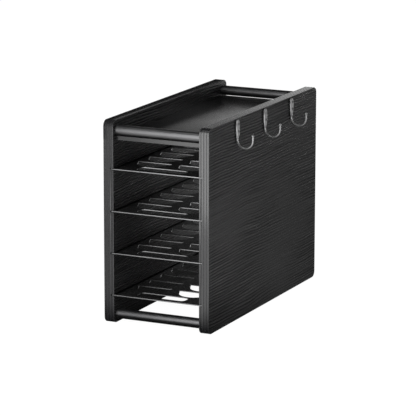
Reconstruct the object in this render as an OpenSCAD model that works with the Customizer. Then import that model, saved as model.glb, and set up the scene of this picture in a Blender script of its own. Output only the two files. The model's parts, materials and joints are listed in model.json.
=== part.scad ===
// Coffee pod drawer: two side panels joined by four round rails and a tray,
// with four slotted pod shelves that slide in grooves, and three coat hooks.
// Millimetres. X runs to the right, Y to the back, Z up.

/* [Case] */
// Outside width across the two side panels
case_w = 182; // [160:1:240]
// Depth of the side panels, front to back
case_d = 418; // [390:1:520]
// Height of the side panels
case_h = 325; // [300:1:420]
// Thickness of a side panel
panel_t = 17; // [15:0.5:22]
// Radius of the panel corners
corner_r = 10; // [4:0.5:14]

/* [Edge banding] */
// Thickness of the banding around each panel
band_t = 1; // [0.6:0.1:2]
// Bevel along both arrises of the banding
band_bevel = 0.5; // [0.2:0.1:0.5]
// Width of one embossed line in the banding
line_w = 1.6; // [0.8:0.1:2]
// Depth of the embossed lines
line_depth = 0.5; // [0.1:0.05:0.6]
// Spacing of the three embossed lines
line_pitch = 4.8; // [3:0.1:5.5]

/* [Rails] */
// Outside diameter of a rail
rail_d = 16; // [12:0.5:20]
// Wall of the rail tube
rail_wall = 1.2; // [0.8:0.1:2]
// Distance of the rail centres from the front and back of the panels
rail_inset = 14.6; // [12:0.1:20]
// Distance of the top rail centres below the top of the panels
rail_drop = 16.5; // [14:0.5:24]
// Height of the bottom rail centres above the floor
rail_rise = 13.5; // [12:0.5:20]

/* [Rail fixings] */
// Length of the plug in each rail end
plug_len = 14; // [10:1:24]
// Diameter of the threaded stud
stud_d = 6; // [4:0.5:8]
// How far the stud reaches into the rail
stud_in_rail = 12; // [8:1:20]
// How far the stud reaches into the panel
stud_in_panel = 10; // [6:1:11]
// Diameter of the threaded insert in the panel
insert_d = 10; // [8:0.5:12]
// Length of the threaded insert
insert_len = 11; // [8:0.5:12]
// Space left behind the insert in its blind hole
insert_end_gap = 0.5; // [0.2:0.1:1]

/* [Top tray] */
// Height of the tray floor below the top of the panels
tray_drop = 24.8; // [24.5:0.1:34]
// Sheet thickness of the tray
tray_t = 1.5; // [1:0.1:2.5]
// Height of the folded lip at the front and back, with the sheet
tray_lip = 6.9; // [4:0.1:12]
// Distance of the front lip from the front of the panels
tray_front = 10.5; // [6:0.5:14]
// Distance of the back lip from the back of the panels
tray_back = 16; // [10:0.5:24]
// Depth of the closed grooves that hold the tray
tray_groove = 4; // [3:0.5:6]

/* [Pod shelves] */
// Number of pod shelves
shelf_n = 4; // [4:1:4]
// Sheet thickness of a shelf
shelf_t = 1.5; // [1.2:0.1:2]
// Height of the lowest shelf's underside above the floor
shelf_first = 44.7; // [42:0.1:60]
// Height from one shelf to the next
shelf_pitch = 67.5; // [66:0.1:72]
// Distance of the shelf's front edge from the front of the panels
shelf_front = 2; // [0:0.5:6]
// Depth of the open grooves that carry the shelves
groove_depth = 5.5; // [4:0.5:7]
// Height of the shelf grooves
groove_h = 3.2; // [2.8:0.1:4]
// Distance of the closed groove end from the back of the panels
groove_stop = 10; // [8:0.5:16]

/* [Pod slots] */
// Width of a pod slot along its straight edge
slot_w = 59; // [50:0.5:60]
// Depth of a pod slot from its straight edge to the front of its arc
slot_d = 33.4; // [31:0.1:36]
// Radius of the arc; two straight sides run from it to the ends of the straight edge
slot_r = 24.3; // [21:0.1:26]
// Distance between the two columns of slots
column_pitch = 72.4; // [70:0.1:76]
// Distance between the rows of slots
row_pitch = 40.4; // [40:0.1:44]
// Distance of the first straight edge from the front of the panels
first_row = 72.4; // [71:0.1:80]
// Least distance kept between the last row and the shelf's back edge
last_web = 6; // [4:0.5:12]

/* [Finger slot] */
// Width of the finger slot
finger_w = 83; // [70:1:110]
// Depth of the finger slot
finger_d = 22; // [18:0.5:24]
// Radius of the finger slot's corners
finger_r = 7; // [4:0.5:10]
// Distance of the finger slot from the front of the panels
finger_front = 13; // [7:0.5:14]

/* [Hooks] */
// Distance between the hooks
hook_pitch = 104.8; // [70:0.2:130]
// How far the middle hook stands in front of the middle of the panel's depth
hook_shift = 3.5; // [0:0.5:20]
// Distance of the hook's top below the top of the panel
hook_drop = 1.5; // [1.5:0.5:20]
// Width of the hook's leaf
leaf_w = 11.5; // [10:0.5:20]
// Length of the hook's leaf
leaf_l = 37; // [34:1:46]
// Thickness of the hook's leaf
leaf_t = 3.5; // [1.6:0.1:4.5]
// Where the leaf is widest: a smaller power moves that place up
leaf_peak = 0.6; // [0.3:0.02:1]
// Fullness of the leaf's outline: a smaller power makes it fuller
leaf_full = 0.8; // [0.5:0.05:1.2]
// Diameter of the hook's wire
wire_d = 3; // [2.4:0.1:4]
// Radius of the bend, measured to the middle of the wire
bend_r = 13.1; // [9:0.1:16]
// Height of the bend's centre below the hook's top
bend_drop = 31.8; // [30:0.1:40]
// Length of the straight arm above the bend
arm_l = 7.5; // [4:0.5:14]
// Diameter of the ball on the hook's tip
tip_d = 4.6; // [3.4:0.1:6]
// Diameter of a hook screw's shank
screw_d = 2.4; // [2:0.1:3]
// Diameter of a hook screw's head
screw_head_d = 4.2; // [3.6:0.1:5]
// Height of a hook screw's head
screw_head_h = 0.9; // [0.6:0.1:1.5]
// How far a hook screw goes into the panel
screw_in = 10; // [6:0.5:12]

/* [Fits] */
// Radial gap round plugs, studs, inserts and screws
fit_gap = 0.05; // [0.02:0.01:0.1]
// Gap under a shelf in its groove
shelf_lift = 0.3; // [0.2:0.05:0.5]
// Gap between a shelf's side and the bottom of its groove
shelf_side_gap = 0.7; // [0.4:0.1:1]
// Gap between a shelf's back edge and the closed groove end
shelf_back_gap = 0.5; // [0.3:0.1:2]
// Gap all round the tray in its grooves
tray_gap = 0.1; // [0.05:0.05:0.2]
// Gap between the tray's lips and the panels
lip_gap = 0.3; // [0.2:0.1:1]
// Gap between a hook's wire and the panel
wire_gap = 0.1; // [0.05:0.05:0.5]

/* [Hidden] */
$fn = 64;

inner_w = case_w - 2 * panel_t;
y_front = -case_d / 2;
y_back = case_d / 2;
wire_x = wire_d / 2 + wire_gap;
hook_reach = wire_x + 2 * bend_r + tip_d / 2;
case_mid = -hook_reach / 2;
screw_drops = [7, 18];
leaf_steps = 20;
line_places = [-line_pitch, 0, line_pitch];
hook_places = [-1, 0, 1];
left_side = -1;
right_side = 1;
sides = [left_side, right_side];
over = 1;

rail_ys = [y_front + rail_inset, y_back - rail_inset];
rail_zs = [case_h - rail_drop, rail_rise];
plug_r = rail_d / 2 - rail_wall - fit_gap;
stud_r = stud_d / 2;
insert_r = insert_d / 2;

tray_top = case_h - tray_drop;
tray_y0 = y_front + tray_front;
tray_y1 = y_back - tray_back;

shelf_y0 = y_front + shelf_front;
groove_y1 = y_back - groove_stop;
shelf_y1 = groove_y1 - shelf_back_gap;
shelf_half = inner_w / 2 + groove_depth - shelf_side_gap;
row_n = 1 + floor((shelf_y1 - y_front - last_web - first_row) / row_pitch);

// Underside of shelf number i, where 0 is the lowest
function shelf_z(i) = shelf_first + i * shelf_pitch;

// Half width of a hook's leaf at a share s of its length from the top
function leaf_half(s) = max(wire_d / 2, leaf_w / 2 * pow(sin(180 * pow(s, leaf_peak)), leaf_full));

// Places what is drawn around the middle of the case
module in_case() {
    translate([case_mid, 0, 0]) children();
}

// Turns an outline drawn as (Y, Z) into a slab of thickness t along +X
module along_x(t) {
    rotate([90, 0, 90]) linear_extrude(t) children();
}

// Rounded rectangle with true arcs, centred
module rounded_rect(w, h, r) {
    square([w - 2 * r, h], center = true);
    square([w, h - 2 * r], center = true);
    for (sx = [-1, 1], sy = [-1, 1])
        translate([sx * (w / 2 - r), sy * (h / 2 - r)]) circle(r);
}

// Near edge, along X, of the panel on one side
function panel_x(side) = side < 0 ? -case_w / 2 : case_w / 2 - panel_t;

// Inner face of the panel on one side
function inner_face(side) = side * inner_w / 2;

// Block that starts in the gap between the panels and cuts a groove into one inner face
module groove(side, depth, y0, y1, z0, h) {
    x0 = side < 0 ? -inner_w / 2 - depth : inner_w / 2 - over;
    translate([x0, y0, z0]) cube([depth + over, y1 - y0, h]);
}

module shelf_grooves(side) {
    for (i = [0 : shelf_n - 1])
        groove(side, groove_depth, y_front - over, groove_y1, shelf_z(i) - shelf_lift, groove_h);
}

module tray_groove_cut(side) {
    groove(side, tray_groove, tray_y0 - tray_gap, tray_y1 + tray_gap,
        tray_top - tray_t - tray_gap, tray_t + 2 * tray_gap);
}

// A cylinder along X from x0 with length l
module x_rod(x0, l, r, y, z) {
    translate([x0, y, z]) rotate([0, 90, 0]) cylinder(h = l, r = r);
}

// The same along X, mirrored for the left side: starts at the inner face and goes outwards
module from_inner_face(side, start, l, r, y, z) {
    x0 = inner_face(side) + side * start;
    x_rod(side < 0 ? x0 - l : x0, l, r, y, z);
}

module panel_core(side) {
    difference() {
        translate([panel_x(side), 0, case_h / 2])
            along_x(panel_t) rounded_rect(case_d - 2 * band_t, case_h - 2 * band_t, corner_r - band_t);
        shelf_grooves(side);
        tray_groove_cut(side);
        for (y = rail_ys, z = rail_zs)
            from_inner_face(side, -over, insert_len + insert_end_gap + over, insert_r + fit_gap, y, z);
        if (side > 0) hook_screw_holes();
    }
}

// Section of the banding: x runs across the panel, y outwards from its core
module band_section() {
    difference() {
        polygon([
            [0, 0], [panel_t, 0], [panel_t, band_t - band_bevel], [panel_t - band_bevel, band_t],
            [band_bevel, band_t], [0, band_t - band_bevel]
        ]);
        for (x = line_places)
            translate([panel_t / 2 + x - line_w / 2, band_t - line_depth])
                square([line_w, line_depth + over]);
    }
}

// One straight length of banding along Y, lying on its core
module band_straight(l) {
    rotate([90, 0, 0]) linear_extrude(l, center = true) band_section();
}

// A quarter turn of banding round a corner of the core
module band_corner() {
    rotate([0, 90, 0]) rotate([0, 0, 90]) rotate_extrude(angle = 90)
        translate([corner_r - band_t, 0]) rotate(90) mirror([0, 1]) band_section();
}

module edge_band(side) {
    run_y = case_d - 2 * corner_r;
    run_z = case_h - 2 * corner_r;
    core_y = case_d / 2 - band_t;
    core_z = case_h / 2 - band_t;
    difference() {
        translate([panel_x(side), 0, case_h / 2]) {
            for (s = [0, 180]) {
                rotate([s, 0, 0]) translate([0, 0, core_z]) band_straight(run_y);
                rotate([s + 90, 0, 0]) translate([0, 0, core_y]) band_straight(run_z);
            }
            for (k = [0 : 3]) {
                sy = k == 0 || k == 3 ? 1 : -1;
                sz = k < 2 ? 1 : -1;
                translate([0, sy * (case_d / 2 - corner_r), sz * (case_h / 2 - corner_r)])
                    rotate([90 * k, 0, 0]) band_corner();
            }
        }
        shelf_grooves(side);
    }
}

module rail(y, z) {
    difference() {
        x_rod(-inner_w / 2, inner_w, rail_d / 2, y, z);
        x_rod(-inner_w / 2 - over, inner_w + 2 * over, rail_d / 2 - rail_wall, y, z);
    }
}

// Outline of one pod slot, the side view of a domed pod: straight edge on y = 0,
// sides that lean inwards and run smoothly into an arc at the front
module slot_outline() {
    arc_y = slot_d - slot_r;
    reach = norm([slot_w / 2, arc_y]);
    lean = atan2(arc_y, slot_w / 2) - acos(slot_r / reach);
    touch_x = slot_r * cos(lean);
    touch_y = slot_r * sin(lean) - arc_y;
    polygon([[-slot_w / 2, 0], [slot_w / 2, 0], [touch_x, touch_y], [-touch_x, touch_y]]);
    intersection() {
        translate([0, -arc_y]) circle(slot_r);
        translate([-slot_r, -slot_d - over]) square([2 * slot_r, slot_d + over]);
    }
}

module pod_shelf(i) {
    translate([0, 0, shelf_z(i)]) linear_extrude(shelf_t) difference() {
        translate([-shelf_half, shelf_y0]) square([2 * shelf_half, shelf_y1 - shelf_y0]);
        for (sx = [-1, 1], row = [0 : row_n - 1])
            translate([sx * column_pitch / 2, y_front + first_row + row * row_pitch]) slot_outline();
        translate([0, y_front + finger_front + finger_d / 2]) rounded_rect(finger_w, finger_d, finger_r);
    }
}

module tray_lip_bar(y) {
    translate([-inner_w / 2 + lip_gap, y, tray_top - tray_lip])
        cube([inner_w - 2 * lip_gap, tray_t, tray_lip]);
}

// Middle line of hook number k, where 0 is the middle one
function hook_y(k) = k * hook_pitch - hook_shift;

hook_top = case_h - hook_drop;
bend_z = hook_top - bend_drop;

// A rod along X at a hook's two screw places
module at_hook_screws(k, x0, l, r) {
    for (drop = screw_drops) x_rod(x0, l, r, hook_y(k), hook_top - drop);
}

module hook_screw_holes() {
    for (k = hook_places)
        at_hook_screws(k, case_w / 2 - screw_in - insert_end_gap, screw_in + insert_end_gap + over,
            screw_d / 2 + fit_gap);
}

module leaf_outline() {
    shares = [for (n = [1 : leaf_steps]) n / leaf_steps];
    right = [for (s = shares) [leaf_half(s), -leaf_l * s]];
    left = [for (n = [leaf_steps - 1 : -1 : 0]) [-right[n][0], right[n][1]]];
    polygon(concat([[0, 0]], right, left));
}

module hook(k) {
    tip_z = bend_z + arm_l;
    difference() {
        translate([case_w / 2, hook_y(k), 0]) {
            translate([0, 0, hook_top]) along_x(leaf_t) leaf_outline();
            translate([wire_x, 0, bend_z]) cylinder(h = wire_d, d = wire_d);
            translate([wire_x + bend_r, 0, bend_z]) rotate([-90, 0, 0]) rotate_extrude(angle = 180)
                translate([bend_r, 0]) circle(d = wire_d);
            translate([wire_x + 2 * bend_r, 0, bend_z]) cylinder(h = arm_l, d = wire_d);
            translate([wire_x + 2 * bend_r, 0, tip_z]) sphere(d = tip_d);
        }
        at_hook_screws(k, case_w / 2 - over, leaf_t + 2 * over, screw_d / 2 + fit_gap);
    }
}

module left_panel() { color("#26262a") in_case() panel_core(left_side); }
module right_panel() { color("#26262a") in_case() panel_core(right_side); }
module left_edge_band() { color("#35353a") in_case() edge_band(left_side); }
module right_edge_band() { color("#35353a") in_case() edge_band(right_side); }

module top_front_rail() { color("#17171a") in_case() rail(rail_ys[0], rail_zs[0]); }
module top_rear_rail() { color("#17171a") in_case() rail(rail_ys[1], rail_zs[0]); }
module bottom_front_rail() { color("#17171a") in_case() rail(rail_ys[0], rail_zs[1]); }
module bottom_rear_rail() { color("#17171a") in_case() rail(rail_ys[1], rail_zs[1]); }

module rail_end_plugs() {
    color("#8a8a8e") in_case() for (side = sides, y = rail_ys, z = rail_zs)
        difference() {
            from_inner_face(side, -plug_len, plug_len, plug_r, y, z);
            from_inner_face(side, -plug_len - over, plug_len + 2 * over, stud_r + fit_gap, y, z);
        }
}

module rail_studs() {
    color("#b5b5b8") in_case() for (side = sides, y = rail_ys, z = rail_zs)
        from_inner_face(side, -stud_in_rail, stud_in_rail + stud_in_panel, stud_r, y, z);
}

module panel_inserts() {
    color("#c2a24a") in_case() for (side = sides, y = rail_ys, z = rail_zs)
        difference() {
            from_inner_face(side, 0, insert_len, insert_r, y, z);
            from_inner_face(side, -over, insert_len + 2 * over, stud_r + fit_gap, y, z);
        }
}

module top_tray() {
    half = inner_w / 2 + tray_groove - tray_gap;
    color("#141416") in_case() {
        translate([-half, tray_y0, tray_top - tray_t]) cube([2 * half, tray_y1 - tray_y0, tray_t]);
        tray_lip_bar(tray_y0);
        tray_lip_bar(tray_y1 - tray_t);
    }
}

module pod_shelf_1() { color("#101012") in_case() pod_shelf(0); }
module pod_shelf_2() { color("#101012") in_case() pod_shelf(1); }
module pod_shelf_3() { color("#101012") in_case() pod_shelf(2); }
module pod_shelf_4() { color("#101012") in_case() pod_shelf(3); }

module hook_front() { color("#3c3c40") in_case() hook(-1); }
module hook_middle() { color("#3c3c40") in_case() hook(0); }
module hook_rear() { color("#3c3c40") in_case() hook(1); }

module hook_screws() {
    color("#2a2a2d") in_case() for (k = hook_places) {
        at_hook_screws(k, case_w / 2 - screw_in, screw_in + leaf_t + screw_head_h / 2, screw_d / 2);
        at_hook_screws(k, case_w / 2 + leaf_t, screw_head_h, screw_head_d / 2);
    }
}

left_panel();
right_panel();
left_edge_band();
right_edge_band();
top_front_rail();
top_rear_rail();
bottom_front_rail();
bottom_rear_rail();
rail_end_plugs();
rail_studs();
panel_inserts();
top_tray();
pod_shelf_1();
pod_shelf_2();
pod_shelf_3();
pod_shelf_4();
hook_front();
hook_middle();
hook_rear();
hook_screws();
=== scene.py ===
import json
import math

import bmesh
import bpy
from mathutils import Matrix, Vector

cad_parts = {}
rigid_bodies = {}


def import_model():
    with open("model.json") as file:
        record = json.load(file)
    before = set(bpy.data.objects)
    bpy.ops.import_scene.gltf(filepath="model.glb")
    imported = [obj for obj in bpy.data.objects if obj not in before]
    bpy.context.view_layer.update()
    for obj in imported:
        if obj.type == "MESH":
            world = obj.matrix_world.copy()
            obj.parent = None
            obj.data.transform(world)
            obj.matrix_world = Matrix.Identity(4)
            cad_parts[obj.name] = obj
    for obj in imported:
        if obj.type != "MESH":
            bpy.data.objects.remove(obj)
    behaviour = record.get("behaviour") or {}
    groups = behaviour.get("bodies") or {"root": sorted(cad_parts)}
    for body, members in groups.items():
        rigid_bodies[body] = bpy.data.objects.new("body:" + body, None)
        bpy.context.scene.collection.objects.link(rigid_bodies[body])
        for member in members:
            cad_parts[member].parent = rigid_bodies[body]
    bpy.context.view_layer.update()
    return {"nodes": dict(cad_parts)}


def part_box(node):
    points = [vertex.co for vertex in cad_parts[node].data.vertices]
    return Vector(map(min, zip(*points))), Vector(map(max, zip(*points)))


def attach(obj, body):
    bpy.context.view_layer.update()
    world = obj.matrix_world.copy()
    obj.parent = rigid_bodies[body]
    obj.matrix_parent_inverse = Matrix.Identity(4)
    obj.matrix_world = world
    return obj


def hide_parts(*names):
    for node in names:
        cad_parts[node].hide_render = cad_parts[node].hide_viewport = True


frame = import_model()
cad = frame["nodes"]
caseLow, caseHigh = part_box("left_panel")[0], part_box("right_panel")[1]
print("frame loaded:", len(cad), "CAD nodes")

near = .0001  # places closer than this count as the same one
meshCare = {"merge": .000002, "flatAngle": .4, "smoothAngle": 35, "bevelSteps": 2}  # angles are in degrees


def pick(thing):  # selects it alone and makes it active
    for other in bpy.context.selected_objects:
        other.select_set(False)
    thing.select_set(True)
    bpy.context.view_layer.objects.active = thing


def startPiece(name):  # names the object that was just added and picks it
    thing = bpy.context.object
    thing.name = thing.data.name = name
    pick(thing)
    return thing


def choose(thing, kind, test):  # in edit mode: selects the vertices, edges or faces that pass the test
    mesh = bmesh.from_edit_mesh(thing.data)
    bpy.ops.mesh.select_all(action="DESELECT")
    bpy.ops.mesh.select_mode(type=kind)
    for part in {"VERT": mesh.verts, "EDGE": mesh.edges, "FACE": mesh.faces}[kind]:
        part.select_set(bool(test(part)))
    mesh.select_flush_mode()
    bmesh.update_edit_mesh(thing.data)


def applyModifiers(thing):
    pick(thing)
    for modifier in list(thing.modifiers):
        bpy.ops.object.modifier_apply(modifier=modifier.name)


def setPlace(thing):  # puts the object's place into its mesh
    pick(thing)
    bpy.ops.object.transform_apply(location=True, rotation=True, scale=True)


def addNode(tree, kind, settings=None, sockets=None):
    made = tree.nodes.new("ShaderNode" + kind)
    for key, value in (settings or {}).items():
        setattr(made, key, value)
    for key, value in (sockets or {}).items():
        if isinstance(value, bpy.types.NodeSocket):
            tree.links.new(value, made.inputs[key])
        else:
            made.inputs[key].default_value = value
    return made


def startMaterial(name, values):
    material = bpy.data.materials.new(name)
    material.use_nodes = True
    shader = material.node_tree.nodes["Principled BSDF"]
    for key, value in values.items():
        shader.inputs[key].default_value = value
    return material, material.node_tree, shader


def linkShader(tree, shader, values):
    for key, value in values.items():
        tree.links.new(value, shader.inputs[key])


def stretched(tree, scale=(1, 1, 1)):  # Object coordinates, stretched along the axes
    place = addNode(tree, "TexCoord").outputs["Object"]
    return addNode(tree, "Mapping", sockets={"Vector": place, "Scale": scale}).outputs["Vector"]


def noise(tree, vector, scale=1, detail=2, rough=.5):
    sockets = {"Vector": vector, "Scale": scale, "Detail": detail, "Roughness": rough}
    return addNode(tree, "TexNoise", sockets=sockets).outputs["Fac"]


def maths(tree, how, first, second=0):
    return addNode(tree, "Math", {"operation": how}, {0: first, 1: second}).outputs[0]


def spread(tree, value, low, high, start=0, end=1, curve="LINEAR"):  # maps low..high to start..end
    sockets = {"Value": value, "From Min": low, "From Max": high, "To Min": start, "To Max": end}
    return addNode(tree, "MapRange", {"interpolation_type": curve}, sockets).outputs["Result"]


def blend(tree, share, first, second):  # the first where share is 0, the second where it is 1
    return addNode(tree, "Mix", sockets={0: share, 2: first, 3: second}).outputs[0]


def twoColours(tree, share, look):  # from the look's dark colour to its light one
    sockets = {0: share, 6: (*look["dark"], 1), 7: (*look["light"], 1)}
    return addNode(tree, "Mix", {"data_type": "RGBA"}, sockets).outputs[2]


def bumps(tree, height, depth):
    sockets = {"Height": height, "Distance": depth, "Strength": 1}
    return addNode(tree, "Bump", sockets=sockets).outputs["Normal"]


# A look's colour and roughness run between two values, and its depth is that of the bumps, in metres.
boardLook = {
    "dark": (.002, .002, .002), "light": (.023, .023, .0234), "roughness": (.23, .3), "gloss": (.065, .215),
    "depth": .00024, "waves": (((0, 5, 7), .014), ((0, 20, 40), .002)),
    "fibreScale": (40, 8, 620), "fibreRough": .6, "fibreRange": (.34, .66, -.5, .5), "fibreShare": .8,
    "ringPitch": .0046, "ringScale": (20, 3, 30), "ringDrift": 9, "ringSharp": 2.4, "ringShare": .85,
    "calmScale": (10, 5, 9), "calmRange": (.38, .62, .3, 1), "middle": .55,
}


def makeGrainBoard(look):  # pressed grain: fine fibres and year rings along y, both bent by slow waves
    # for an export that can't take a pattern here
    meanGloss = sum(look["gloss"]) / 2  # the mean gloss, left on the socket under the linked pattern
    material, tree, shader = startMaterial("grainBoard", {"Specular IOR Level": meanGloss})
    x, y, z = addNode(tree, "SeparateXYZ", sockets={"Vector": stretched(tree)}).outputs
    for scale, reach in look["waves"]:  # a wave shifts the grain up and down by half its reach at most
        wave = maths(tree, "SUBTRACT", noise(tree, stretched(tree, scale), detail=1), .5)
        z = maths(tree, "ADD", z, maths(tree, "MULTIPLY", wave, reach))

    def bent(scale):  # coordinates drawn out along the grain and bent with the waves
        parts = [maths(tree, "MULTIPLY", value, by) for value, by in zip((x, y, z), scale)]
        return addNode(tree, "CombineXYZ", sockets=dict(enumerate(parts))).outputs[0]

    fibres = noise(tree, bent(look["fibreScale"]), rough=look["fibreRough"])
    fibres = spread(tree, fibres, *look["fibreRange"])
    drift = maths(tree, "MULTIPLY", noise(tree, bent(look["ringScale"])), look["ringDrift"])
    turns = maths(tree, "ADD", maths(tree, "MULTIPLY", z, 2 * math.pi / look["ringPitch"]), drift)
    rings = maths(tree, "POWER", spread(tree, maths(tree, "SINE", turns), -1, 1), look["ringSharp"])
    height = maths(tree, "SUBTRACT", maths(tree, "MULTIPLY", fibres, look["fibreShare"]),
                   maths(tree, "MULTIPLY", rings, look["ringShare"]))
    calm = spread(tree, noise(tree, stretched(tree, look["calmScale"]), detail=1), *look["calmRange"])
    height = maths(tree, "ADD", maths(tree, "MULTIPLY", height, calm), look["middle"])
    smooth, rough = look["roughness"]
    linkShader(tree, shader, {
        "Base Color": twoColours(tree, height, look),
        "Roughness": spread(tree, height, 0, 1, rough, smooth),
        "Specular IOR Level": spread(tree, height, 0, 1, *look["gloss"]),
        "Normal": bumps(tree, height, look["depth"]),
    })
    return material


bandingGrain = {"speckleScale": (900, 900, 900), "speckleRange": (.3, .7), "alongScale": (700, 14, 14),
                "alongRange": (.35, .65), "depth": .00001, "ior": 1.5}
bandingLook = {"dark": (.012, .012, .013), "light": (.017, .017, .018), "roughness": (.13, .17), "gloss": .5}
# The arris paint is lighter than the banding: a painted highlight along the band's two long edges.
arrisHighlightLook = {"dark": (.02, .02, .021), "light": (.027, .027, .028), "roughness": (.25, .3), "gloss": .65}
# The groove paint is darker than the banding: painted shade in the three fine lines.
grooveShadeLook = {"dark": (.006, .006, .0065), "light": (.009, .009, .0095), "roughness": (.25, .3), "gloss": .45}


def makeBanding(name, look):
    values = {"Specular IOR Level": look["gloss"], "IOR": bandingGrain["ior"]}
    material, tree, shader = startMaterial(name, values)
    speckle = noise(tree, stretched(tree, bandingGrain["speckleScale"]), detail=3)
    along = noise(tree, stretched(tree, bandingGrain["alongScale"]))
    linkShader(tree, shader, {
        "Base Color": twoColours(tree, spread(tree, along, *bandingGrain["alongRange"]), look),
        "Roughness": spread(tree, speckle, *bandingGrain["speckleRange"], *look["roughness"]),
        "Normal": bumps(tree, speckle, bandingGrain["depth"]),
    })
    return material


railLook = {"dark": (.095, .095, .097), "light": (.11, .11, .112), "roughness": (.32, .37), "gloss": .5,
            "metallic": .95, "depth": .000008, "peelScale": 700, "cloudScale": 40}
trayLook = {"dark": (.004, .004, .0043), "light": (.006, .006, .0063), "roughness": (.22, .27), "gloss": .45,
            "metallic": 0, "depth": .000006, "peelScale": 600, "cloudScale": 25}
trayEdgeLook = {**trayLook, "roughness": (.3, .36), "gloss": .25}
shelfLook = {"dark": (.1, .1, .102), "light": (.125, .125, .127), "roughness": (.2, .26), "gloss": .5,
             "metallic": .95, "depth": .000008, "peelScale": 900, "cloudScale": 30}
# The cut-edge paint is lighter than the shelf paint: a painted highlight along the shelves' cut edges.
shelfEdgeHighlightLook = {"dark": (.15, .15, .152), "light": (.18, .18, .182), "roughness": (.3, .38), "gloss": .5,
                 "metallic": .95, "depth": .000008, "peelScale": 900, "cloudScale": 30}
plugLook = {"dark": (.22, .22, .23), "light": (.3, .3, .31), "roughness": (.5, .6), "gloss": .4,
            "metallic": 0, "depth": .00001, "peelScale": 1500, "cloudScale": 200}
steelLook = {"dark": (.42, .42, .43), "light": (.56, .56, .57), "roughness": (.24, .4), "gloss": .5,
             "metallic": 1, "depth": .00001, "peelScale": 1800, "cloudScale": 300}
brassLook = {"dark": (.5, .36, .12), "light": (.66, .5, .2), "roughness": (.26, .42), "gloss": .5,
             "metallic": 1, "depth": .00001, "peelScale": 1800, "cloudScale": 300}
hookLook = {"dark": (.3, .3, .303), "light": (.35, .35, .353), "roughness": (.31, .37), "gloss": .5,
            "metallic": .78, "depth": .00001, "peelScale": 1600, "cloudScale": 300}
# The screw metal is darker than the hook metal: the screws' own dark finish, darkened further as painted
# shade at the screw heads.
screwMetalAndShadeLook = {"dark": (.14, .14, .143), "light": (.2, .2, .204), "roughness": (.3, .42), "gloss": .5,
             "metallic": .9, "depth": .00001, "peelScale": 2200, "cloudScale": 500}
cloudRange = (.3, .7)  # where most of a cloud's values lie


def makePaint(name, look):  # a coat or a bare metal, with a fine peel and slow clouds of colour and gloss
    values = {"Specular IOR Level": look["gloss"], "Metallic": look["metallic"]}
    material, tree, shader = startMaterial(name, values)
    peel = noise(tree, stretched(tree), look["peelScale"])
    cloud = noise(tree, stretched(tree), look["cloudScale"], detail=3)
    linkShader(tree, shader, {
        "Base Color": twoColours(tree, spread(tree, cloud, *cloudRange), look),
        "Roughness": spread(tree, cloud, *cloudRange, *look["roughness"]),
        "Normal": bumps(tree, peel, look["depth"]),
    })
    return material


grainBoard = makeGrainBoard(boardLook)
edgeBanding = makeBanding("edgeBanding", bandingLook)
bandArrisHighlight = makeBanding("bandArrisHighlight", arrisHighlightLook)
bandGrooveShade = makeBanding("bandGrooveShade", grooveShadeLook)
railPaint = makePaint("railPaint", railLook)
trayPaint = makePaint("trayPaint", trayLook)
trayEdge = makePaint("trayEdge", trayEdgeLook)
shelfPaint = makePaint("shelfPaint", shelfLook)
shelfEdgeHighlight = makePaint("shelfEdgeHighlight", shelfEdgeHighlightLook)
plugNylon = makePaint("plugNylon", plugLook)
studSteel = makePaint("studSteel", steelLook)
insertBrass = makePaint("insertBrass", brassLook)
hookMetal = makePaint("hookMetal", hookLook)
screwMetalAndShade = makePaint("screwMetalAndShade", screwMetalAndShadeLook)
print("materials made")


def paint(thing, material):
    thing.data.materials.clear()
    thing.data.materials.append(material)


def paintFaces(thing, material, test):  # a further paint, on the faces whose centre and normal pass the test
    thing.data.materials.append(material)
    last = len(thing.data.materials) - 1
    for face in thing.data.polygons:
        if test(face.center, face.normal):
            face.material_index = last


def dress(thing, body, material, slotName, *nodes):  # a piece's paint, its body and the nodes it stands for
    paint(thing, material)
    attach(thing, body)
    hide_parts(*nodes)


def copyNode(node, name):  # a copy of a CAD node to work on, merged and with its flat faces joined
    pick(cad[node])
    bpy.ops.object.duplicate()
    thing = bpy.context.object
    bpy.ops.object.parent_clear(type="CLEAR_KEEP_TRANSFORM")
    startPiece(name)
    setPlace(thing)
    bpy.ops.object.mode_set(mode="EDIT")
    bpy.ops.mesh.select_all(action="SELECT")
    bpy.ops.mesh.remove_doubles(threshold=meshCare["merge"])
    bpy.ops.mesh.dissolve_limited(angle_limit=math.radians(meshCare["flatAngle"]))
    bpy.ops.object.mode_set(mode="OBJECT")
    return thing


def copyPiece(thing, name, shift):  # a copy with a mesh of its own, moved by shift
    pick(thing)
    bpy.ops.object.duplicate()
    bpy.ops.transform.translate(value=shift)
    copied = startPiece(name)
    setPlace(copied)
    return copied


def softenEdges(thing, form):  # rounds the edges sharper than the form says, and keeps flat faces flat
    pick(thing)
    bpy.ops.object.shade_smooth_by_angle(angle=math.radians(meshCare["smoothAngle"]))
    bevel = thing.modifiers.new("soft edges", "BEVEL")
    bevel.width, bevel.segments = form["edge"], meshCare["bevelSteps"]
    bevel.angle_limit = math.radians(form["sharpest"])
    bevel.harden_normals = True
    applyModifiers(thing)


shelfForm = {"edge": .00022, "sharpest": 40, "flatness": .8}  # faces less level than flatness are cut edges


def makeShelves():  # the lowest shelf is softened, and the other three are copies of it
    shelves = [copyNode("pod_shelf_1", "podShelf_1")]
    softenEdges(shelves[0], shelfForm)
    for number in (2, 3, 4):
        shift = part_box(f"pod_shelf_{number}")[0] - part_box("pod_shelf_1")[0]
        shelves.append(copyPiece(shelves[0], f"podShelf_{number}", shift))
    for number, shelf in enumerate(shelves, 1):
        dress(shelf, f"shelf_{number}", shelfPaint, "shelf_paint", f"pod_shelf_{number}")
        # the cut edges take the lighter paint as a painted highlight
        paintFaces(shelf, shelfEdgeHighlight, lambda centre, normal: abs(normal.z) < shelfForm["flatness"])


trayForm = {"fold": .0007, "foldSteps": 4, "edge": .0002, "sharpest": 40, "rearTilt": .1}


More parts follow.
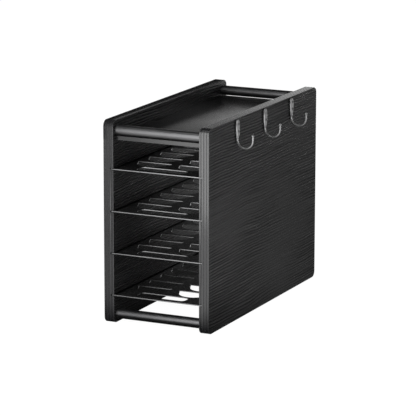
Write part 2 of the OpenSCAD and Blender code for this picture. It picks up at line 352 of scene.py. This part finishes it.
def makeTray():
    tray = copyNode("top_tray", "topTray")
    low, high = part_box("top_tray")

    def isFold(edge):  # the outer top edge of the front or the rear lip
        ends = [corner.co for corner in edge.verts]
        atTop = all(abs(end.z - high.z) < near for end in ends)
        atFront = all(abs(end.y - low.y) < near for end in ends)
        atBack = all(abs(end.y - high.y) < near for end in ends)
        return atTop and (atFront or atBack)

    pick(tray)
    bpy.ops.object.mode_set(mode="EDIT")
    choose(tray, "EDGE", isFold)
    bpy.ops.mesh.bevel(offset=trayForm["fold"], segments=trayForm["foldSteps"])
    bpy.ops.object.mode_set(mode="OBJECT")
    softenEdges(tray, trayForm)
    dress(tray, "case", trayPaint, "tray_paint", "top_tray")
    paintFaces(tray, trayEdge, lambda centre, normal: normal.y > trayForm["rearTilt"])  # rearward faces


# A tilt is the share of a face's normal that runs along x, across the band.
bandForm = {"edge": .00012, "sharpest": 30, "arris": .00055, "arrisTilt": (.4, .95),
            "lineWidth": .0016, "linePitch": .0048, "lineDepth": .0005, "floorShare": .8, "wallTilt": .5}


def makeBand(side):
    node = side + "_edge_band"
    band = copyNode(node, side + "EdgeBand")
    low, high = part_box(node)
    middle = (low.x + high.x) / 2

    def onArris(centre, normal):  # the slanted faces along the band's two long edges
        least, most = bandForm["arrisTilt"]
        return min(centre.x - low.x, high.x - centre.x) < bandForm["arris"] and least < abs(normal.x) < most

    def inLine(centre, normal):  # the walls and the floor of the three fine lines
        across = abs(centre.x - middle)
        inward = min(centre.y - low.y, high.y - centre.y, centre.z - low.z, high.z - centre.z)
        fromLine = min(abs(across - place) for place in (0, bandForm["linePitch"]))
        onFloor = inward > bandForm["lineDepth"] * bandForm["floorShare"]
        onWall = abs(normal.x) > bandForm["wallTilt"]
        return fromLine < bandForm["lineWidth"] / 2 + near and (onWall or onFloor)

    softenEdges(band, bandForm)
    dress(band, "case", edgeBanding, "edge_banding", node)
    # a painted highlight: the lighter arris paint on the slanted edge faces
    paintFaces(band, bandArrisHighlight, onArris)
    # painted shade: the darker groove paint on the walls and floor of the fine lines
    paintFaces(band, bandGrooveShade, inLine)


# Peak and full shape the leaf's outline, crowding packs its rings towards the top, and past loose it eases
# off the board. Tip turns are degrees round the ball at the end.
hookForm = {
    "wire": .003, "gap": .0001, "bend": .0131, "bendSteps": 16, "arm": .0075, "corners": 24,
    "tip": .0046, "tipTurns": (20, 45, 70, 95, 120, 138), "tipNeck": .95,
    "leafLength": .037, "leafHeight": .0035, "leafRound": .0036, "leafRings": 18, "crowding": 1.5,
    "peak": .6, "full": .8, "loose": .6, "plump": 1.5, "plumpCurve": .5,
}


def nextRing(old, new):  # extrudes the chosen ring from (place, x radius, y radius) old to new
    shift = Vector(new[0]) - Vector(old[0])
    bpy.ops.mesh.extrude_edges_move(TRANSFORM_OT_translate={"value": shift})
    bpy.ops.transform.resize(value=(new[1] / old[1], new[2] / old[2], 1), center_override=new[0])
    return new


def modelHook(low, high):  # from the ball at the tip down the arm, round the bend and up into the leaf
    face, middle, top = low.x, (low.y + high.y) / 2, high.z
    wire, tip = hookForm["wire"] / 2, hookForm["tip"] / 2
    wireX, armX = face + hookForm["gap"] + wire, high.x - tip
    bendZ = low.z + wire + hookForm["bend"]
    tipZ = bendZ + hookForm["arm"]

    def ballRing(turn):
        angle = math.radians(turn)
        radius = tip * math.sin(angle)
        return (armX, middle, tipZ + tip * math.cos(angle)), radius, radius

    ring = ballRing(hookForm["tipTurns"][0])
    bpy.ops.mesh.primitive_circle_add(
        vertices=hookForm["corners"], radius=ring[1], location=ring[0], fill_type="TRIFAN")
    hook = startPiece("frontHook")
    setPlace(hook)
    bpy.ops.object.mode_set(mode="EDIT")
    choose(hook, "EDGE", lambda edge: edge.is_boundary)
    for turn in hookForm["tipTurns"][1:]:
        ring = nextRing(ring, ballRing(turn))
    ring = nextRing(ring, ((armX, middle, tipZ - tip * hookForm["tipNeck"]), wire, wire))
    ring = nextRing(ring, ((armX, middle, bendZ), wire, wire))
    bendMiddle = ((wireX + armX) / 2, middle, bendZ)
    bpy.ops.mesh.spin(steps=hookForm["bendSteps"], angle=math.pi, center=bendMiddle, axis=(0, -1, 0))

    ring = ((wireX, middle, bendZ), wire, wire)
    leafHalf, core = (high.y - low.y) / 2, face + hookForm["leafHeight"] / 2
    start = (top - bendZ) / hookForm["leafLength"]  # the share at the bend, and it is 0 at the leaf's top
    for step in range(1, hookForm["leafRings"]):
        share = start * (1 - step / hookForm["leafRings"]) ** hookForm["crowding"]
        half = leafHalf * math.sin(math.pi * share ** hookForm["peak"]) ** hookForm["full"]
        loose = min(1, max(0, (share - hookForm["loose"]) / (start - hookForm["loose"])))
        loose = loose * loose * (3 - 2 * loose)  # eased at both ends
        plump = hookForm["leafRound"] * min(1, half / leafHalf * hookForm["plump"]) ** hookForm["plumpCurve"]
        place = (core + (wireX - core) * loose, middle, top - hookForm["leafLength"] * share)
        ring = nextRing(ring, (place, plump + (wire - plump) * loose, max(half, wire)))
    bpy.ops.mesh.extrude_edges_move(TRANSFORM_OT_translate={"value": (0, 0, top - ring[0][2])})
    bpy.ops.mesh.merge(type="CENTER")

    outer = face + hookForm["leafHeight"]

    def pastBoard(corner):
        return corner.co.x < face

    def pastLeaf(corner):
        return outer < corner.co.x < armX - tip and corner.co.z > bendZ

    for flat, test in ((face, pastBoard), (outer, pastLeaf)):
        choose(hook, "VERT", test)
        bpy.ops.transform.resize(value=(0, 1, 1), center_override=(flat, middle, top))
    bpy.ops.mesh.select_all(action="SELECT")
    bpy.ops.mesh.remove_doubles(threshold=meshCare["merge"])
    bpy.ops.mesh.normals_make_consistent(inside=False)
    bpy.ops.object.mode_set(mode="OBJECT")
    rounding = hook.modifiers.new("round", "SUBSURF")
    rounding.levels = rounding.render_levels = 1
    applyModifiers(hook)
    bpy.ops.object.shade_smooth()
    return hook


def makeHooks():  # one is modelled, and the other two are copies of it
    low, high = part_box("hook_front")
    hooks = {"front": modelHook(low, high)}
    for place in ("middle", "rear"):
        hooks[place] = copyPiece(hooks["front"], place + "Hook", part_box("hook_" + place)[0] - low)
    for place, thing in hooks.items():
        dress(thing, "case", hookMetal, "hook_metal", "hook_" + place)


screwForm = {"drops": (.007, .018), "head": .0021, "headHeight": .0009, "crown": .00055, "crownSteps": 4,
             "shank": .0012, "point": .002, "pointShare": .2, "underTilt": .9,
             "slotLength": .0026, "slotWidth": .0005, "slotDepth": .0005, "corners": 32}


def modelScrew(crown, pointX):  # a pan head with its top's middle at crown, and a shank that ends at pointX
    x, y, z = crown
    bpy.ops.mesh.primitive_cylinder_add(
        vertices=screwForm["corners"], radius=screwForm["head"], depth=screwForm["headHeight"],
        location=(x - screwForm["headHeight"] / 2, y, z), rotation=(0, math.pi / 2, 0))
    screw = startPiece("hookScrews")
    setPlace(screw)
    bpy.ops.object.mode_set(mode="EDIT")
    choose(screw, "EDGE", lambda edge: all(corner.co.x > x - near for corner in edge.verts))
    bpy.ops.mesh.bevel(offset=screwForm["crown"], segments=screwForm["crownSteps"])
    choose(screw, "FACE", lambda part: part.normal.x < -screwForm["underTilt"])
    bpy.ops.mesh.inset(thickness=screwForm["head"] - screwForm["shank"])
    seat = x - screwForm["headHeight"]
    straight = seat - pointX - screwForm["point"]
    for length in (straight, screwForm["point"]):
        bpy.ops.mesh.extrude_region_move(TRANSFORM_OT_translate={"value": (-length, 0, 0)})
    share = screwForm["pointShare"]
    bpy.ops.transform.resize(value=(1, share, share), center_override=(pointX, y, z))
    bpy.ops.object.mode_set(mode="OBJECT")
    return screw


def cutCross(screw, crown):
    length, width = screwForm["slotLength"], screwForm["slotWidth"]
    for size in ((length, width), (width, length)):
        bpy.ops.mesh.primitive_cube_add(size=1, location=crown, scale=(2 * screwForm["slotDepth"], *size))
        cutter = startPiece("slotCutter")
        setPlace(cutter)
        cut = screw.modifiers.new("cross slot", "BOOLEAN")
        cut.operation, cut.solver, cut.object = "DIFFERENCE", "EXACT", cutter
        applyModifiers(screw)
        bpy.data.objects.remove(cutter)
    bpy.ops.object.shade_smooth_by_angle(angle=math.radians(meshCare["smoothAngle"]))


def makeScrews():  # one is modelled, and copied to the six places
    low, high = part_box("hook_screws")
    hookLow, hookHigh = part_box("hook_front")
    middle, height = (hookLow.y + hookHigh.y) / 2, hookHigh.z - screwForm["drops"][0]
    crown = (high.x, middle, height)
    screw = modelScrew(crown, low.x)
    cutCross(screw, crown)

    first = Vector((0, middle, height))
    screws = [screw]
    for place in ("front", "middle", "rear"):
        hookLow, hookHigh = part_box("hook_" + place)
        for drop in screwForm["drops"]:
            shift = Vector((0, (hookLow.y + hookHigh.y) / 2, hookHigh.z - drop)) - first
            if shift.length > near:
                screws.append(copyPiece(screw, "screwCopy", shift))
    pick(screw)
    for thing in screws:
        thing.select_set(True)
    bpy.ops.object.join()
    # the screws take the darker metal, partly painted shade
    dress(screw, "case", screwMetalAndShade, "screw_black", "hook_screws")


makeShelves()
makeTray()
for side in ("left", "right"):
    makeBand(side)
makeHooks()
makeScrews()

finishes = {
    "left_panel": grainBoard, "right_panel": grainBoard,
    "top_front_rail": railPaint, "top_rear_rail": railPaint,
    "bottom_front_rail": railPaint, "bottom_rear_rail": railPaint,
    "rail_end_plugs": plugNylon, "rail_studs": studSteel, "panel_inserts": insertBrass,
}
for node, material in finishes.items():
    paint(cad[node], material)
print("CAD nodes painted:", len(finishes))


def rayKinds(tree):  # 1 for what the camera sees, also through glass, and 1 for what is mirrored
    path = addNode(tree, "LightPath").outputs
    return maths(tree, "MAXIMUM", path["Is Camera Ray"], path["Is Transmission Ray"]), path["Is Glossy Ray"]


# The floor is white to the camera. In reflections it has two bright patches with slanted edges:
# the side faces mirror the rear one, and the fronts mirror the front one.
floorForm = {"size": 12, "colour": (.85, .85, .85, 1), "roughness": .9, "seen": .93, "glow": 1.06,
             "rear": .5, "rearTurn": (-.2, .2), "rearSlant": -2.146, "rearFade": (-.36, .04, 1.05, .42),
             "front": 2.3, "frontTurn": (-.24, -.34), "frontSlant": -.466, "frontEdge": (-.01, .08, .35, 1)}


def makeFloor():
    bpy.ops.mesh.primitive_plane_add(size=floorForm["size"], location=(0, 0, 0))
    floor = startPiece("studioFloor")
    material, tree, shader = startMaterial("studioFloor", {
        "Base Color": floorForm["colour"], "Roughness": floorForm["roughness"], "Specular IOR Level": 0})
    seen, mirrored = rayKinds(tree)
    x, y = addNode(tree, "SeparateXYZ", sockets={"Vector": stretched(tree)}).outputs[:2]

    along = maths(tree, "ADD", y, maths(tree, "MULTIPLY", x, floorForm["rearSlant"]))
    rear = maths(tree, "MULTIPLY", spread(tree, y, *floorForm["rearTurn"]),
                 spread(tree, along, *floorForm["rearFade"]))
    across = maths(tree, "ADD", x, maths(tree, "MULTIPLY", y, floorForm["frontSlant"]))
    front = maths(tree, "MULTIPLY", spread(tree, y, *floorForm["frontTurn"]),
                  spread(tree, across, *floorForm["frontEdge"]))
    patches = maths(tree, "ADD", maths(tree, "MULTIPLY", rear, floorForm["rear"]),
                    maths(tree, "MULTIPLY", front, floorForm["front"]))

    strength = blend(tree, mirrored, floorForm["glow"], patches)
    glow = addNode(tree, "Emission", sockets={"Color": (1, 1, 1, 1), "Strength": strength})
    share = maths(tree, "ADD", maths(tree, "MULTIPLY", seen, floorForm["seen"]), mirrored)
    mix = addNode(tree, "MixShader", sockets={0: share, 1: shader.outputs[0], 2: glow.outputs[0]})
    tree.links.new(mix.outputs[0], tree.nodes["Material Output"].inputs["Surface"])
    paint(floor, material)


# The room is white to the camera. In reflections its wall darkens upwards, and in front also to the left.
roomForm = {"ambient": .42, "seen": 1, "wall": 1, "ceiling": .03, "wallTop": (.12, .36),
            "rearTurn": (-.2, .3), "rear": 1, "sideTurn": (.05, .35), "front": .15, "side": .6}


def makeRoom():
    world = bpy.data.worlds.new("studioWorld")
    bpy.context.scene.world = world
    world.use_nodes = True
    tree = world.node_tree
    seen, mirrored = rayKinds(tree)
    direction = addNode(tree, "TexCoord").outputs["Generated"]
    x, y, z = addNode(tree, "SeparateXYZ", sockets={"Vector": direction}).outputs
    wall = spread(tree, z, *roomForm["wallTop"], roomForm["wall"], roomForm["ceiling"], curve="SMOOTHSTEP")
    front = spread(tree, x, *roomForm["sideTurn"], roomForm["front"], roomForm["side"])
    around = blend(tree, spread(tree, y, *roomForm["rearTurn"]), front, roomForm["rear"])
    strength = blend(tree, mirrored, roomForm["ambient"], maths(tree, "MULTIPLY", wall, around))
    strength = blend(tree, seen, strength, roomForm["seen"])
    background = tree.nodes["Background"]
    background.inputs["Color"].default_value = (1, 1, 1, 1)
    tree.links.new(strength, background.inputs["Strength"])


darkFlag = {"gap": .004, "below": .03, "above": .01, "front": .02, "behind": .25,
            "colour": (.003, .003, .003, 1)}


def addDarkFlag():  # a black card along the left panel, seen only mirrored in its top band and in the tray
    low = Vector((caseLow.x - darkFlag["gap"], caseLow.y - darkFlag["front"], caseHigh.z - darkFlag["below"]))
    high = Vector((low.x, caseHigh.y + darkFlag["behind"], caseHigh.z + darkFlag["above"]))
    bpy.ops.mesh.primitive_plane_add(size=1, location=(low + high) / 2, rotation=(0, math.pi / 2, 0))
    bpy.context.object.scale = (high.z - low.z, high.y - low.y, 1)
    flag = startPiece("darkFlag")
    setPlace(flag)
    values = {"Base Color": darkFlag["colour"], "Roughness": 1, "Specular IOR Level": 0}
    paint(flag, startMaterial("darkCard", values)[0])
    flag.visible_camera = flag.visible_diffuse = flag.visible_shadow = False


# A lamp that isn't mirrored only lights, and one that isn't lit only shows in reflections. Power is in watts.
softboxes = {
    "lowFrontBox": {"place": (-.18, -.9, .16), "aim": (-.18, 0, .16), "size": (.4, .3), "power": 1.3},
    "highFrontBox": {"place": (-.18, -.9, .69), "aim": (-.18, 0, .69), "size": (.4, .76), "power": 5.4},
    "topFrontBox": {"place": (-.18, -.5, 1.3), "aim": (-.13, -.1, .3), "size": (.4, .6), "power": 2.2},
    "sideFill": {"place": (.6, -1.3, .25), "aim": (0, 0, .15), "size": (.5, .4), "power": .4,
                 "mirrored": False},
    "rightFill": {"place": (1.3, -.4, .5), "aim": (0, -.1, .15), "size": (.8, .5), "power": 8,
                  "mirrored": False},
    "leftBox": {"place": (-1.3, .1, .2), "aim": (0, .1, .2), "size": (.9, .4), "power": 6},
    "rearGlow": {"place": (-.015, .25, .15), "aim": (-.015, 0, .15), "size": (.148, .29), "power": .06,
                 "lit": False},
    "rearBox": {"place": (-.1, 1.4, .2), "aim": (-.1, 0, .2), "size": (.5, .4), "power": 4},
}


def addSoftbox(name, values):
    bpy.ops.object.light_add(type="AREA", location=values["place"])
    lamp = bpy.context.object
    lamp.name = lamp.data.name = name
    lamp.data.shape = "RECTANGLE"
    lamp.data.size, lamp.data.size_y = values["size"]
    lamp.data.energy = values["power"]
    lamp.visible_glossy, lamp.visible_diffuse = values.get("mirrored", True), values.get("lit", True)
    lamp.visible_camera = False
    aim = (Vector(values["aim"]) - Vector(values["place"])).to_track_quat("-Z", "Y")
    lamp.rotation_euler = aim.to_euler()


# The place is in metres, the angles are in degrees, and the lens and sensor are in millimetres.
viewpoint = {"place": (1.75675, -3.7595, 1.0910), "azimuth": 25.351, "elevation": 12.740, "roll": .0796,
             "lens": 227.3, "sensor": 36}


def addCamera():
    turn, tilt, roll = (math.radians(viewpoint[key]) for key in ("azimuth", "elevation", "roll"))
    ahead = Vector((-math.sin(turn) * math.cos(tilt), math.cos(turn) * math.cos(tilt), -math.sin(tilt)))
    right = ahead.cross(Vector((0, 0, 1))).normalized()
    up = right.cross(ahead)
    turnedRight = right * math.cos(roll) + up * math.sin(roll)
    turnedUp = up * math.cos(roll) - right * math.sin(roll)
    bpy.ops.object.camera_add(location=viewpoint["place"])
    camera = bpy.context.object
    camera.data.lens, camera.data.sensor_width = viewpoint["lens"], viewpoint["sensor"]
    camera.rotation_euler = Matrix((turnedRight, turnedUp, -ahead)).transposed().to_euler()
    bpy.context.scene.camera = camera


makeFloor()
makeRoom()
addDarkFlag()
for name, values in softboxes.items():
    addSoftbox(name, values)
addCamera()
bpy.context.scene.view_settings.view_transform = "Standard"
print("studio and camera ready")
